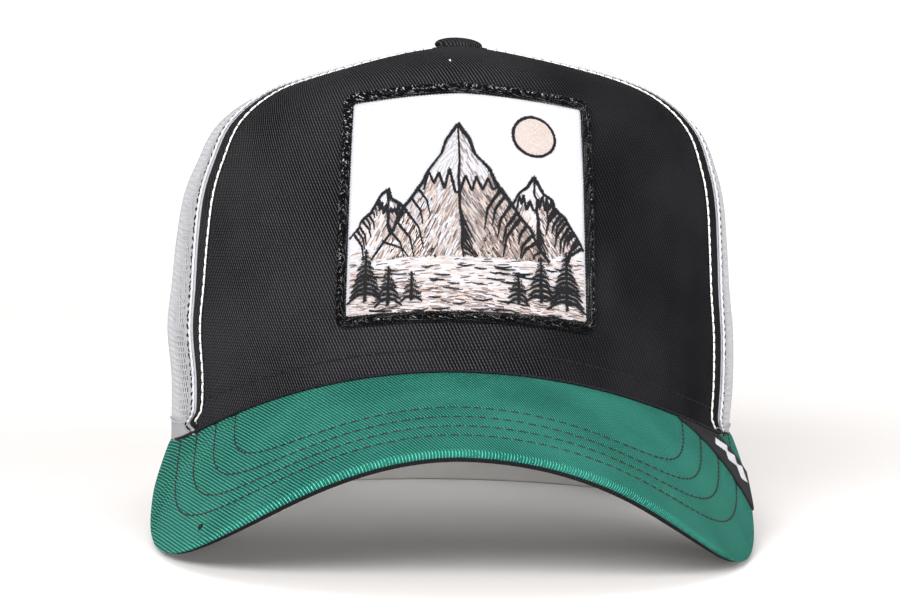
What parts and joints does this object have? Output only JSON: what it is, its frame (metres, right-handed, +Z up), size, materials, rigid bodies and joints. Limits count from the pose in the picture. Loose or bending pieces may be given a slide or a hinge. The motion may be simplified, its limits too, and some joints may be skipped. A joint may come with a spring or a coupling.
{
  "type": "trucker hat",
  "caption": "Trucker cap with a padded twill front panel, open mesh sides and back, a curved peak, a square framed patch and a snap strap behind.",
  "frame": {"origin": "middle of the footprint, on the surface that the cap rests on", "axes": "+Z up, front and peak towards -Y, +X to the right as seen from the front (the wearer's left)"},
  "size_m": [0.178, 0.2766, 0.1464],
  "materials": {
    "front_twill": "black cotton twill with a fine slanting weave, matte",
    "mesh": "light grey polyester net, slightly glossy yarn",
    "binding": "light grey folded tape",
    "sweatband": "black cotton twill tape, soft",
    "strap": "black moulded plastic, satin",
    "peak_twill": "deep green cotton twill with stitched rows",
    "under_twill": "black cotton twill",
    "label": "black woven tape",
    "patch_field": "white embroidery ground with stitched line work",
    "patch_thread": "black wrapped embroidery thread"
  },
  "bodies": {
    "root": {"front_panel": "front_twill", "mesh_side_left": "mesh", "mesh_side_right": "mesh", "mesh_back_left": "mesh", "mesh_back_right": "mesh", "opening_binding": "binding", "sweatband": "sweatband", "snap_strap": "strap", "button": "front_twill", "peak_top": "peak_twill", "peak_under": "under_twill", "peak_label": "label", "patch_field": "patch_field", "patch_border": "patch_thread"}
  },
  "joints": []
}
